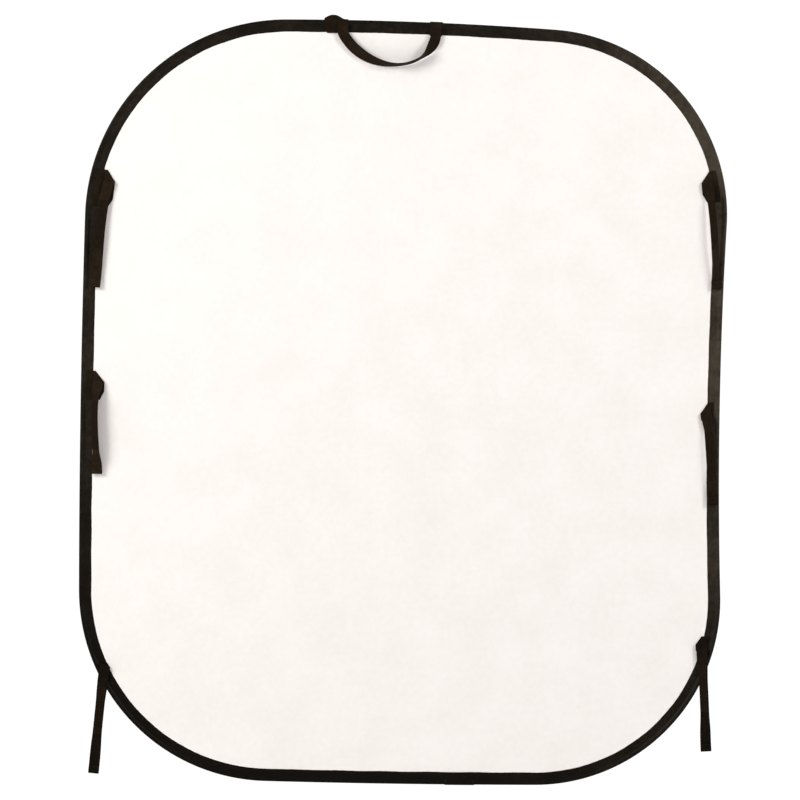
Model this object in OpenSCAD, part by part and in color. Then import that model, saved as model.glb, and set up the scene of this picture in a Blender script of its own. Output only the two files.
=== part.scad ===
// Collapsible backdrop panel.
// A flat band of spring steel, bent to a rounded oblong hoop, is held open in a
// folded binding tape. The tape grips the edges of two plies of cloth. A webbing
// handle hangs from the top of the rim, and six webbing ties hang from the sides.
//
// Frame: millimetres, +Z up, the panel stands in the XZ plane and its face looks
// along -Y. The origin is on the outer edge of the rim at the middle of the top,
// where a stand's clip holds the panel.

/* [Panel] */
// Width over the rim
panel_w = 1520; // [1480:5:1700]
// Height over the rim
panel_h = 1800; // [1740:5:2100]
// Thickness of one ply of cloth
cloth_t = 0.4; // [0.2:0.05:0.4]

/* [Hoop] */
// Thickness of the steel band, across its bend
band_t = 1; // [0.6:0.1:1]
// Width of the steel band, from front to back
band_w = 8; // [6:0.5:8]
// Length of the sleeve that joins the two ends of the band
sleeve_l = 60; // [40:5:80]
// Diameter of the two rivets through the sleeve
rivet_d = 3; // [2:0.5:4]

/* [Binding] */
// Width of the rim as seen from the front
rim_w = 29; // [26:1:32]
// Thickness of the rim where it holds the band
rim_t = 11; // [11:0.5:12]
// Thickness of the binding tape
tape_t = 0.8; // [0.5:0.1:0.8]

/* [Webbing] */
// Width of the webbing of the handle and ties
web_w = 25; // [20:1:26]
// Thickness of the webbing
web_t = 1.6; // [1.2:0.1:1.8]
// Free length of the upper ties
upper_tie = 248; // [200:4:320]
// Free length of the middle ties
middle_tie = 213; // [200:1:320]
// Free length of the lower ties
lower_tie = 248; // [200:4:320]
// Distance between the middles of the handle's two ends
handle_span = 218; // [160:2:260]
// Drop of the handle's lowest point below its ends
handle_drop = 84; // [70:1:110]

/* [Hidden] */
$fn = 48;
TIES = ["upper_left", "middle_left", "lower_left", "upper_right", "middle_right", "lower_right"];
ROOT_NODES = ["spring_hoop", "hoop_sleeve", "hoop_rivets", "front_cloth", "rear_cloth",
              "rim_binding", "binding_splice", "rim_seam_thread",
              "handle_anchor_left", "handle_anchor_right", "handle_anchor_thread", "tie_anchor_thread"];

// ---- Outline of the rim: four corner bends joined by four slightly bowed sides ----
// Each corner: radius, then how far its bend stops short of the side and of the top or bottom.
// Order: top right, top left, bottom left, bottom right. A sprung hoop is never quite even.
CORNERS = [[435, -3, 29], [473, 18, 6], [448, 4, 9], [434, 13, 0]];
CORNER_SIGNS = [[1, 1], [-1, 1], [-1, -1], [1, -1]];
// Radius of the bow of the top, left, bottom and right sides: negative where the side bows inwards
BOWS = [8700, 30000, 24000, -10400];
// Straight steps that each bend and each side is drawn with
CORNER_STEPS = 14;
SIDE_STEPS = [12, 7, 10, 7];

function corner_r(i) = CORNERS[i % 4][0];
function corner_at(i) = let (c = CORNERS[i % 4], s = CORNER_SIGNS[i % 4])
    [s[0] * (panel_w / 2 - c[1] - c[0]), s[1] * (panel_h / 2 - c[2] - c[0])];

// The centre of the side that runs from corner i to the next one: its arc touches both bends.
function side_at(i) =
    let (a = corner_at(i), b = corner_at(i + 1), ra = BOWS[i] - corner_r(i), rb = BOWS[i] - corner_r(i + 1),
         d = norm(b - a), along = (ra * ra - rb * rb + d * d) / (2 * d), u = (b - a) / d)
    a + u * along + [-u[1], u[0]] * sqrt(ra * ra - along * along) * sign(BOWS[i]);

// The outward direction, in degrees, where side i touches the bend of a corner.
function outward(i, corner) = let (v = (corner_at(corner) - side_at(i)) * sign(BOWS[i])) atan2(v[1], v[0]);
// The signed turn from one direction to another, under half a turn.
function turn(a, b) = (b - a + 900) % 360 - 180;

// The eight arcs in order, each [centre, radius, first angle, angle swept, steps].
function corner_arc(i) = let (a = outward((i + 3) % 4, i), b = outward(i, i))
    [corner_at(i), corner_r(i), a, turn(a, b), CORNER_STEPS];
function side_arc(i) = let (a = outward(i, i), b = outward(i, i + 1))
    [side_at(i), BOWS[i], a, turn(a, b), SIDE_STEPS[i]];
ARCS = [for (i = [0:3]) each [corner_arc(i), side_arc(i)]];
TOP_SIDE = ARCS[1];

// Height of the top side above the hoop's centre, at the middle of the panel.
hang_z = TOP_SIDE[0][1] + sqrt(TOP_SIDE[1] * TOP_SIDE[1] - TOP_SIDE[0][0] * TOP_SIDE[0][0]);

// A station is [centre, radius, angle]: a place on the outline, with its outward direction.
STATIONS = [for (s = ARCS) for (j = [0:s[4] - 1]) [s[0] - [0, hang_z], s[1], s[2] + s[3] * j / s[4]]];
function station(arc, share) = let (s = ARCS[arc]) [s[0] - [0, hang_z], s[1], s[2] + s[3] * share];
// The point that lies a given distance inside the outline.
function inside(s, inset) = s[0] + (s[1] - inset) * [cos(s[2]), sin(s[2])];
function outline(inset) = [for (s = STATIONS) inside(s, inset)];

// Turns a drawing in X and Y into one in X and Z, with its thickness from y0 to y1.
module upright(y0, y1) {
    translate([0, y1, 0]) rotate([90, 0, 0]) linear_extrude(y1 - y0) children();
}
// A flat ring that follows the rim between two insets.
module rim_ring(inset0, inset1, y0, y1) {
    upright(y0, y1) difference() {
        polygon(outline(inset0));
        polygon(outline(inset1));
    }
}
// Puts children at a station: +X outwards, +Z along the rim.
module on_rim(s, inset = 0) {
    p = inside(s, inset);
    translate([p[0], 0, p[1]]) rotate([0, -s[2], 0]) children();
}

// ---- Cross-section of the rim: full round the band, then down to a flat seam ----
// Half thickness of the flat seam, where the tape lies on the cloth
seam_h = 1.3;
// Insets where the full part starts, where it ends and where the flat seam starts
full_u0 = 1.5;
full_u1 = 6.5;
seam_u = 13;
// Half thickness at the outermost edge
edge_h = 4;
flank_shift = tan(atan2(rim_t / 2 - seam_h, seam_u - full_u1) / 2);
nose_turn = atan2(rim_t / 2 - edge_h, full_u0);
// Half of the section's outline, as [inset, half thickness], grown by d. lift raises its outer end.
function half_section(d, reach, lift = 0) = [
    [reach, seam_h + d],
    [seam_u + flank_shift * d, seam_h + d],
    [full_u1 + flank_shift * d, rim_t / 2 + d],
    [full_u0 - tan(nose_turn / 2) * d - lift, rim_t / 2 + d],
    [-d - lift, edge_h + tan((90 - nose_turn) / 2) * d]
];
function mirrored(half) = [for (i = [len(half) - 1:-1:0]) [half[i][0], -half[i][1]]];
function backwards(list) = [for (i = [len(list) - 1:-1:0]) list[i]];
// A folded tape, as a closed outline: its outside grown by d1, its inside by d0.
function folded_tape(d0, d1, reach, lift = 0) = concat(
    half_section(d1, reach, lift), mirrored(half_section(d1, reach, lift)),
    backwards(mirrored(half_section(d0, reach, lift))), backwards(half_section(d0, reach, lift)));

// A section carried all the way round the outline.
module rim_sweep(section) {
    n = len(section);
    m = len(STATIONS);
    points = [for (s = STATIONS) for (p = section) let (q = inside(s, p[0])) [q[0], p[1], q[1]]];
    faces = [for (i = [0:m - 1]) for (j = [0:n - 1])
        let (i2 = (i + 1) % m, j2 = (j + 1) % n)
        [i * n + j, i2 * n + j, i2 * n + j2, i * n + j2]];
    polyhedron(points, faces);
}
// A folded tape over a short straight length of the rim.
module rim_wrap(s, length, d0, d1, reach, lift = 0) {
    on_rim(s) translate([0, 0, -length / 2]) linear_extrude(length)
        polygon([for (p = folded_tape(d0, d1, reach, lift)) [-p[0], p[1]]]);
}

// ---- Hoop ----
// Inset of the band's outer face
band_u = 3;
// Walls of the sleeve over the band's faces, and over its front and back edges
sleeve_wall = 0.5;
sleeve_lip = 0.45;
sleeve_gap = 0.15;
sleeve_t = band_t + 2 * (sleeve_gap + sleeve_wall);
// Where the band's two ends meet: the share of the bottom side, from its left end
splice_share = 0.72;
splice_at = station(5, splice_share);
band_end_gap = 1;
rivet_pitch = sleeve_l * 0.6;
rivet_head_r = rivet_d * 0.85;
rivet_head_t = 0.5;
rivet_fit = 0.05;
// How far a cutter runs past what it cuts
past = 1;

module rivet_row(r, length) {
    for (z = [-1, 1] * rivet_pitch / 2)
        on_rim(splice_at, band_u + band_t / 2) translate([0, 0, z]) rotate([0, 90, 0])
            cylinder(h = length, r = r, center = true);
}
module spring_hoop() {
    color("lightsteelblue") difference() {
        rim_ring(band_u, band_u + band_t, -band_w / 2, band_w / 2);
        on_rim(splice_at, band_u + band_t / 2)
            cube([band_t + 2 * past, band_w + 2 * past, band_end_gap], center = true);
        rivet_row(rivet_d / 2 + rivet_fit, band_t + 2 * past);
    }
}
module hoop_sleeve() {
    inner = [band_t + 2 * sleeve_gap, band_w + 2 * sleeve_gap];
    color("silver") difference() {
        on_rim(splice_at, band_u + band_t / 2)
            cube([sleeve_t, inner[1] + 2 * sleeve_lip, sleeve_l], center = true);
        on_rim(splice_at, band_u + band_t / 2)
            cube([inner[0], inner[1], sleeve_l + 2 * past], center = true);
        rivet_row(rivet_d / 2 + rivet_fit, sleeve_t + 2 * past);
    }
}
module hoop_rivets() {
    color("gray") {
        rivet_row(rivet_d / 2, sleeve_t + rivet_head_t);
        for (z = [-1, 1] * rivet_pitch / 2)
            on_rim(splice_at, band_u + band_t / 2)
                for (side = [-1, 1]) translate([side * (sleeve_t + rivet_head_t) / 2, 0, z])
                    rotate([0, 90, 0]) cylinder(h = rivet_head_t, r = rivet_head_r, center = true);
    }
}

// ---- Cloth and binding ----
// Inset of the cloth's edge, inside the binding
cloth_edge_u = 11;
// Half of the gap between the two plies
ply_gap = 0.05;
// Inset, width and thickness of the seam's thread, and its gap to the tape
thread_u = rim_w - 4.5;
thread_w = 0.6;
thread_t = 0.3;
thread_lift = 0.02;
// Gap under whatever is sewn over the seam's thread
over_thread = 0.35;
// Length and reach of the piece of tape that covers the binding's ends
splice_l = 70;
splice_reach = rim_w - 1;

module front_cloth() {
    color("white") upright(-ply_gap - cloth_t, -ply_gap) polygon(outline(cloth_edge_u));
}
module rear_cloth() {
    color("whitesmoke") upright(ply_gap, ply_gap + cloth_t) polygon(outline(cloth_edge_u));
}
module rim_binding() { color([0.07, 0.06, 0.05]) rim_sweep(folded_tape(-tape_t, 0, rim_w)); }
module binding_splice() {
    color([0.07, 0.06, 0.05])
        rim_wrap(splice_at, splice_l, over_thread, over_thread + tape_t, splice_reach);
}
module rim_seam_thread() {
    y = seam_h + thread_lift;
    color("dimgray") {
        rim_ring(thread_u, thread_u + thread_w, -y - thread_t, -y);
        rim_ring(thread_u, thread_u + thread_w, y, y + thread_t);
    }
}

// ---- Hinge of a webbing end: a sewn eye that turns on a corded fold ----
// Y of every hinge's axis, and the radius of the fold on it
pivot_y = -8.2;
fold_r = 1.6;
eye_r0 = fold_r + 0.05;
eye_r1 = eye_r0 + web_t;
// The eye covers these angles, measured from +Y towards +Z, and leaves the rest open
eye_from = 200;
eye_to = 330;
// The neck that carries the fold: thickness and width
neck_t = 1.2;
neck_w = 18;
eye_w = web_w + 1;

// Draws a shape given in Y and Z, with its length along X.
module across(length) {
    rotate([90, 0, 90]) translate([0, 0, -length / 2]) linear_extrude(length) children();
}
module ring_sector(r0, r1, a0, a1) {
    far = r1 * 2.5;
    mid = (a0 + a1) / 2;
    intersection() {
        difference() {
            circle(r1);
            circle(r0);
        }
        polygon([[0, 0], far * [cos(a0), sin(a0)], far * [cos(mid), sin(mid)], far * [cos(a1), sin(a1)]]);
    }
}
// The eye on a webbing's end, with its axis along X at pivot_y.
module webbing_eye() {
    across(eye_w) translate([pivot_y, 0]) ring_sector(eye_r0, eye_r1, eye_from, eye_to);
}
// The corded fold that the eye turns on, and the neck that joins it to what lies behind.
module corded_fold(back_y) {
    across(eye_w) translate([pivot_y, 0]) circle(fold_r);
    across(neck_w) translate([pivot_y, -neck_t / 2]) square([back_y - pivot_y, neck_t]);
}

// ---- Handle ----
// Inset of the handle's two ends
handle_u = 20;
// Thickness of the webbing wrapped over the rim, and how far down it reaches
wrap_t = 1.6;
wrap_reach = rim_w + 2;
// Each wrap, left then right: shift of its middle from the handle's end, its length along the
// rim, and how far its loose fold stands above the rim
WRAPS = [[-12, 52, 10], [0, 30, 0]];
// X of the middle of the handle
handle_mid_x = -28;
// How far the handle's loop stands off, and how far it turns on edge
handle_y_out = 8;
handle_twist = 76;
// Share of the handle's length, at each end, over which it turns on edge
handle_ease = 0.42;
handle_steps = 26;
// Length of each flat end, sewn double
handle_flat = 12;
// Distance below its hinge where a webbing's flat part starts
web_start = 1.9;

// The station on the top side whose point at the handle's inset has the given X.
function top_station(x) = let (c = TOP_SIDE[0])
    [c - [0, hang_z], TOP_SIDE[1], acos((x - c[0]) / (TOP_SIDE[1] - handle_u))];
handle_mid = inside(top_station(handle_mid_x), handle_u);
handle_slope = top_station(handle_mid_x)[2] - 90;
function wrap_station(end) = top_station(handle_mid_x + WRAPS[end][0] + (end - 0.5) * handle_span);

// Puts children on the line through both ends of the handle: +X to the right along it.
module on_handle_axis(x = 0) {
    translate([handle_mid[0], 0, handle_mid[1]]) rotate([0, -handle_slope, 0])
        translate([x, 0, 0]) children();
}
module handle_anchor(end) {
    wrap_face = -(seam_h + over_thread + wrap_t / 2);
    color([0.09, 0.08, 0.07]) union() {
        rim_wrap(wrap_station(end), WRAPS[end][1], over_thread, over_thread + wrap_t, wrap_reach,
                 WRAPS[end][2]);
        on_handle_axis((end - 0.5) * handle_span) corded_fold(wrap_face);
    }
}
// The handle's middle line between its flat ends, in its own X and Z.
HANDLE_PATH = [[-handle_span / 2, -handle_flat], [-0.24 * handle_span, -1.32 * handle_drop],
               [0.43 * handle_span, -1.25 * handle_drop], [handle_span / 2, -handle_flat]];
function bezier(p, t) = pow(1 - t, 3) * p[0] + 3 * pow(1 - t, 2) * t * p[1]
    + 3 * (1 - t) * t * t * p[2] + pow(t, 3) * p[3];
function bezier_slope(p, t) = 3 * pow(1 - t, 2) * (p[1] - p[0]) + 6 * (1 - t) * t * (p[2] - p[1])
    + 3 * t * t * (p[3] - p[2]);
function eased(s) = s < 1 ? s * s * (3 - 2 * s) : 1;
// How far the webbing has turned on edge, in degrees
function handle_turn(t) = handle_twist * eased(t / handle_ease) * eased((1 - t) / handle_ease);
// The four corners of the webbing at a point of its middle line, for a direction and a turn.
function web_ring(p, u, turned) =
    let (across = cos(turned) * [u[1], 0, -u[0]] + sin(turned) * [0, 1, 0],
         thick = cross([u[0], 0, u[1]], across),
         mid = [p[0], pivot_y - handle_y_out * sin(turned), p[1]])
    [for (c = [[-1, -1], [1, -1], [1, 1], [-1, 1]])
        mid + across * c[0] * web_w / 2 + thick * c[1] * web_t / 2];
function path_ring(t) = let (d = bezier_slope(HANDLE_PATH, t))
    web_ring(bezier(HANDLE_PATH, t), d / norm(d), handle_turn(t));
module handle_sweep() {
    rings = concat([web_ring([-handle_span / 2, -web_start], [0, -1], 0)],
                   [for (i = [0:handle_steps]) path_ring(i / handle_steps)],
                   [web_ring([handle_span / 2, -web_start], [0, 1], 0)]);
    last = (len(rings) - 1) * 4;
    sides = [for (i = [0:len(rings) - 2]) for (j = [0:3]) let (k = (j + 1) % 4, a = i * 4, b = a + 4)
        each [[a + j, b + j, b + k], [a + j, b + k, a + k]]];
    polyhedron([for (ring = rings) each ring],
               concat([[0, 1, 2], [0, 2, 3], [last + 2, last + 1, last], [last + 3, last + 2, last]], sides));
}
module handle_webbing() {
    color([0.09, 0.08, 0.07]) on_handle_axis() union() {
        handle_sweep();
        for (side = [-1, 1]) translate([side * handle_span / 2, 0, 0]) webbing_eye();
    }
}

// ---- Stitching ----
stitch_w = 0.6;
stitch_t = 0.3;
// Distance from the edge of a patch or wrap to its thread
thread_edge = 2.5;
// Box sewn across each handle wrap: its height, and its distance from the wrap's lower edge
wrap_box_h = 5;
wrap_box_edge = 1.5;
// Rows sewn across the handle's ends: distances below the eye, and length
END_ROWS = [1.4, 3.6];
end_row_l = web_w - 8;
// A sewn box, drawn flat.
module stitch_box(w, h) {
    difference() {
        square([w, h], center = true);
        square([w - 2 * stitch_w, h - 2 * stitch_w], center = true);
    }
}
module handle_anchor_thread() {
    y = seam_h + over_thread + wrap_t + thread_lift;
    color("dimgray") for (end = [0, 1]) on_rim(wrap_station(end))
        translate([wrap_box_h / 2 + wrap_box_edge - wrap_reach, 0, 0]) for (y0 = [-y - stitch_t, y])
            upright(y0, y0 + stitch_t) stitch_box(wrap_box_h, WRAPS[end][1] - 2 * thread_edge);
}
module handle_end_thread() {
    y = pivot_y - web_t / 2 - thread_lift;
    color("dimgray") for (side = [-1, 1]) for (row = END_ROWS)
        on_handle_axis(side * handle_span / 2) translate([0, 0, -eye_r1 - row])
            upright(y - stitch_t, y) square([end_row_l, stitch_w], center = true);
}

// ---- Ties ----
// Each tie: arc of the rim, share of that arc, inset of its middle, lean from the vertical, free
// length, then how far its patch reaches above and below the hinge. A positive lean carries the
// hanging end to the left.
TIE_SPECS = [
    [2, 0.879, 48, 7.9, upper_tie, 28, 60],
    [3, 0.447, 42, 1, middle_tie, 28, 40],
    [4, 0.284, 20, 5.9, lower_tie, 11, 32],
    [0, 0.159, 40, -5.2, upper_tie, 28, 46],
    [7, 0.49, 32, -4, middle_tie, 26, 32],
    [6, 0.818, 31, -2.5, lower_tie, 20, 32]
];
// How far the patch that sews a tie down reaches towards the rim
patch_out = 34;
// The cut across its inner top corner, across and down, as shares of its height above the hinge
patch_top_cut = [0.75, 0.95];
// The cut across its inner bottom corner, across and up
patch_end_cut = [10, 20];
// Front of whatever the patch is sewn to, and the patch's thickness
patch_y0 = -seam_h - over_thread;
patch_t = 2;
// Where the patch stops, short of the place where the rim starts to thicken
patch_gap = 0.8;
patch_u = seam_u + patch_gap;
// Fastener tape: width, thickness, the hook strip's length and distance from the tie's end,
// and the loop strip's length and distance from the hinge
fastener_w = 20;
fastener_t = 0.9;
hook_l = 40;
hook_end = 4;
loop_l = 110;
loop_from = 45;
hem_l = 18;
// How far the hem's fold runs into the webbing behind it
hem_sunk = 0.2;

function tie_at(i) = inside(station(TIE_SPECS[i][0], TIE_SPECS[i][1]), TIE_SPECS[i][2]);
function tie_length(i) = TIE_SPECS[i][4];
// The side of the panel that a tie is on: -1 left, 1 right.
function tie_side(i) = tie_at(i)[0] < 0 ? -1 : 1;

module at_tie(i) {
    translate([tie_at(i)[0], 0, tie_at(i)[1]]) rotate([0, TIE_SPECS[i][3], 0]) children();
}
// The patch as a flat shape in the panel's own X and Z.
module patch_shape(i, inset) {
    w = eye_w / 2 - inset;
    top = TIE_SPECS[i][5] - inset;
    bottom = inset - TIE_SPECS[i][6];
    cut = patch_top_cut * TIE_SPECS[i][5];
    intersection() {
        polygon(outline(patch_u + inset));
        translate(tie_at(i)) rotate(-TIE_SPECS[i][3]) scale([-tie_side(i), 1]) polygon([
            [w - patch_end_cut[0], bottom], [w, bottom + patch_end_cut[1]], [w, top - cut[1]],
            [w - cut[0], top], [inset - patch_out, top], [inset - patch_out, bottom]]);
    }
}
module tie_anchor(i) {
    color([0.09, 0.08, 0.07]) union() {
        upright(patch_y0 - patch_t, patch_y0) patch_shape(i, 0);
        at_tie(i) corded_fold(patch_y0 - patch_t / 2);
    }
}
module tie_anchor_thread() {
    y = patch_y0 - patch_t - thread_lift;
    color("dimgray") for (i = [0:5]) upright(y - stitch_t, y) difference() {
        patch_shape(i, thread_edge);
        patch_shape(i, thread_edge + stitch_w);
        // Leaves out the stretch that the hinge covers.
        translate(tie_at(i)) rotate(-TIE_SPECS[i][3]) square([3 * patch_out, 2 * eye_r1 + 1], center = true);
    }
}
module tie_webbing(i) {
    length = tie_length(i);
    color([0.09, 0.08, 0.07]) at_tie(i) union() {
        webbing_eye();
        across(web_w) {
            translate([pivot_y - web_t / 2, -length]) square([web_t, length - web_start]);
            translate([pivot_y - 1.5 * web_t, -length]) square([web_t + hem_sunk, hem_l]);
        }
    }
}
// A strip of fastener tape on the front or the back of a tie.
module tie_tape(i, from, length, front) {
    y = front ? pivot_y - web_t / 2 - fastener_t : pivot_y + web_t / 2;
    color([0.12, 0.11, 0.1]) at_tie(i) across(fastener_w)
        translate([y, -from - length]) square([fastener_t, length]);
}
module tie_hook(i) { tie_tape(i, tie_length(i) - hook_l - hook_end, hook_l, false); }
module tie_loop(i) { tie_tape(i, loop_from, loop_l, true); }

// ---- Every node on its own ----
spring_hoop();
hoop_sleeve();
hoop_rivets();
front_cloth();
rear_cloth();
rim_binding();
binding_splice();
rim_seam_thread();
handle_anchor(0);  // handle_anchor_left
handle_anchor(1);  // handle_anchor_right
handle_anchor_thread();
handle_webbing();
handle_end_thread();
tie_anchor_thread();
for (i = [0:5]) {
    tie_anchor(i);
    tie_webbing(i);
    tie_hook(i);
    tie_loop(i);
}
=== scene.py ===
"""Looks of the collapsible backdrop panel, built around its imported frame.

Shapes are worked out in millimetres and made in metres. Every piece is a mesh made by a formula
from the rim's outline, so that cloth, tape, webbing and stitches all follow the same line.
"""

import math
import random

import bmesh
import bpy
import numpy as np
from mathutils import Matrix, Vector, kdtree


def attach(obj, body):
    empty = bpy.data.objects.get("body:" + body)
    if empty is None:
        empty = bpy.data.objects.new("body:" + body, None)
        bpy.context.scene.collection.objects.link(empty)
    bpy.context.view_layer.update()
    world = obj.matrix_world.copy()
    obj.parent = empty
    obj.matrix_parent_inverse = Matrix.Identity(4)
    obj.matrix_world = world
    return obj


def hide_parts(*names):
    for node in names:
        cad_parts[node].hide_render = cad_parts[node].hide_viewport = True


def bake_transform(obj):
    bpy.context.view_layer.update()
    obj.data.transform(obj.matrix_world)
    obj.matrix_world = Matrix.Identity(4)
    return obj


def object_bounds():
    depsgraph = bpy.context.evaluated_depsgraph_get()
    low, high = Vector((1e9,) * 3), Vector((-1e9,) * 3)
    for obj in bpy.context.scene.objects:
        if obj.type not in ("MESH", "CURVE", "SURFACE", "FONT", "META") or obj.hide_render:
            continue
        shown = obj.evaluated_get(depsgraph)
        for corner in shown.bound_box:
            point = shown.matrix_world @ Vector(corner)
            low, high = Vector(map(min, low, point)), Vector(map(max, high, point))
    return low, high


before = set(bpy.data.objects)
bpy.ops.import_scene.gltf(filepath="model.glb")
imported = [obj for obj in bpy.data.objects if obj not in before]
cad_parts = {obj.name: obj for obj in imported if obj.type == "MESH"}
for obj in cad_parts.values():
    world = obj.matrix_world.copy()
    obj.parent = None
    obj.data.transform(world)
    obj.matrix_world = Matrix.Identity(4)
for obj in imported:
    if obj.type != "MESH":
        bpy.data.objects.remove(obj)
cad_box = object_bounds()

MM = 0.001

# ---- Outline of the rim: four corner bends joined by four slightly bowed sides ----
PANEL_W, PANEL_H = 1520, 1800
# Radius, then how far the bend stops short of the side and of the top or bottom
CORNERS = [(435, -3, 29), (473, 18, 6), (448, 4, 9), (434, 13, 0)]
CORNER_SIGNS = [(1, 1), (-1, 1), (-1, -1), (1, -1)]
# Radius of the bow of the top, left, bottom and right sides: negative where it bows inwards
BOWS = [8700, 30000, 24000, -10400]


def corner_at(i):
    (radius, x, z), (sx, sz) = CORNERS[i % 4], CORNER_SIGNS[i % 4]
    return np.array([sx * (PANEL_W / 2 - x - radius), sz * (PANEL_H / 2 - z - radius)])


def side_at(i):
    """The centre of the side that runs from corner i to the next one."""
    a, b, bow = corner_at(i), corner_at(i + 1), BOWS[i]
    ra, rb = bow - CORNERS[i][0], bow - CORNERS[(i + 1) % 4][0]
    d = np.linalg.norm(b - a)
    along, u = (ra * ra - rb * rb + d * d) / (2 * d), (b - a) / d
    return a + u * along + np.array([-u[1], u[0]]) * math.copysign(math.sqrt(ra * ra - along * along), bow)


def outward(i, corner):
    """The outward direction, in degrees, where side i touches a corner's bend."""
    v = (corner_at(corner) - side_at(i)) * math.copysign(1, BOWS[i])
    return math.degrees(math.atan2(v[1], v[0]))


def arc(centre, radius, a, b):
    return centre, radius, a, (b - a + 900) % 360 - 180


ARCS = []
for i in range(4):
    ARCS.append(arc(corner_at(i), CORNERS[i][0], outward((i + 3) % 4, i), outward(i, i)))
    ARCS.append(arc(side_at(i), BOWS[i], outward(i, i), outward(i, i + 1)))
HANG_Z = ARCS[1][0][1] + math.sqrt(ARCS[1][1] ** 2 - ARCS[1][0][0] ** 2)
ARC_CENTRES, ARC_RADII, ARC_ANGLES, ARC_SWEEPS = (np.array(values) for values in zip(*ARCS))
ARC_LENGTHS = np.abs(ARC_RADII * np.radians(ARC_SWEEPS))
ARC_STARTS = np.append(0, np.cumsum(ARC_LENGTHS))
RIM_LENGTH = ARC_STARTS[-1]


def rim_place(s):
    """Points of the rim's outer edge at distances s along it, and their outward directions."""
    s = np.asarray(s, float) % RIM_LENGTH
    k = np.clip(np.searchsorted(ARC_STARTS, s, side="right") - 1, 0, 7)
    share = (s - ARC_STARTS[k]) / ARC_LENGTHS[k]
    angle = np.radians(ARC_ANGLES[k] + ARC_SWEEPS[k] * share)
    out = np.stack([np.cos(angle), np.sin(angle)], -1)
    return ARC_CENTRES[k] - [0, HANG_Z] + ARC_RADII[k][..., None] * out, out


def rim_distance(arc_index, share):
    return ARC_STARTS[arc_index] + share * ARC_LENGTHS[arc_index]


def rim_point(s, inset, y):
    """Points at distances s along the rim, so far inside its outline, at depth y."""
    edge, out = rim_place(s)
    flat = edge - np.asarray(inset, float)[..., None] * out
    return np.stack([flat[..., 0], np.broadcast_to(y, flat.shape[:-1]), flat[..., 1]], -1)


SAMPLE_STEP = 2
SAMPLES, _ = rim_place(np.arange(0, RIM_LENGTH, SAMPLE_STEP))
TREE = kdtree.KDTree(len(SAMPLES))
for i, p in enumerate(SAMPLES):
    TREE.insert((p[0], p[1], 0), i)
TREE.balance()


def nearest_rim(x, z):
    """(distance along the rim, inset) of the rim's edge nearest to each point."""
    flat = np.stack([np.ravel(x), np.ravel(z)], -1)
    s = SAMPLE_STEP * np.array([TREE.find((a, b, 0))[1] for a, b in flat], float)
    edge, out = rim_place(s)
    inset = ((edge - flat) * out).sum(-1)
    return s.reshape(np.shape(x)), inset.reshape(np.shape(x))


# ---- Small tools ----
# These bring the mean of several waves back to about -1 to 1.
RIPPLE_GAIN, SWELL_GAIN = 1.6, 1.5
DEPTH = np.array([0, 1, 0])


def smooth(t):
    t = np.clip(t, 0, 1)
    return t * t * (3 - 2 * t)


def join(*parts):
    return np.concatenate(parts)


def bell(x, middle, width):
    return np.exp(-((x - middle) / width) ** 2)


def distances(points):
    """How far along a row of points each of them is."""
    return np.append(0, np.cumsum(np.linalg.norm(np.diff(points, axis=0), axis=1)))


def spread(origin, x_axis, z_axis, x, y, z):
    """Points from coordinates along two directions in the panel's plane, and a depth y."""
    return origin + x[..., None] * x_axis + z[..., None] * z_axis + y[..., None] * DEPTH


def ripple(s, wavelength, seed, waves=5, skew=0):
    """Smooth noise from -1 to 1 along the rim, which meets itself after one round."""
    draw = random.Random(seed)
    total = 0
    for _ in range(waves):
        count = round(RIM_LENGTH / wavelength * draw.uniform(0.6, 1.7))
        total = total + np.sin(2 * math.pi * (s / RIM_LENGTH * count + draw.random()) + skew)
    return total / waves * RIPPLE_GAIN


def swell(x, z, wavelength, seed, waves=7):
    """Smooth noise from about -1 to 1 over the panel."""
    draw = random.Random(seed)
    total = 0
    for _ in range(waves):
        a, k = draw.uniform(0, math.pi), 2 * math.pi / (wavelength * draw.uniform(0.7, 1.8))
        total = total + np.sin(k * (x * math.cos(a) + z * math.sin(a)) + draw.uniform(0, 6.3))
    return total / waves * SWELL_GAIN


def build(name, points, faces, uvs, slot):
    """A mesh piece from points in millimetres. Its UV map, weave, holds millimetres too."""
    mesh = bpy.data.meshes.new(name)
    mesh.from_pydata((np.asarray(points, float) * MM).tolist(), [], [list(map(int, f)) for f in faces])
    layer = mesh.uv_layers.new(name="weave")
    layer.data.foreach_set("uv", np.asarray(uvs, np.float32).ravel())
    work = bmesh.new()
    work.from_mesh(mesh)
    bmesh.ops.recalc_face_normals(work, faces=work.faces)
    work.to_mesh(mesh)
    work.free()
    mesh.shade_smooth()
    mesh.materials.append(LOOKS[slot])
    piece = bpy.data.objects.new(name, mesh)
    bpy.context.scene.collection.objects.link(piece)
    return piece


def grid_faces(rows, cols, wrap_rows=False, wrap_cols=False):
    """Quads of a grid, and the row and column of each of their corners, not wrapped."""
    i, j = np.meshgrid(np.arange(rows - (not wrap_rows)), np.arange(cols - (not wrap_cols)), indexing="ij")
    i, j = i.ravel(), j.ravel()
    corner_rows = np.stack([i, i, i + 1, i + 1], 1)
    corner_cols = np.stack([j, j + 1, j + 1, j], 1)
    return corner_rows % rows * cols + corner_cols % cols, corner_rows, corner_cols


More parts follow.
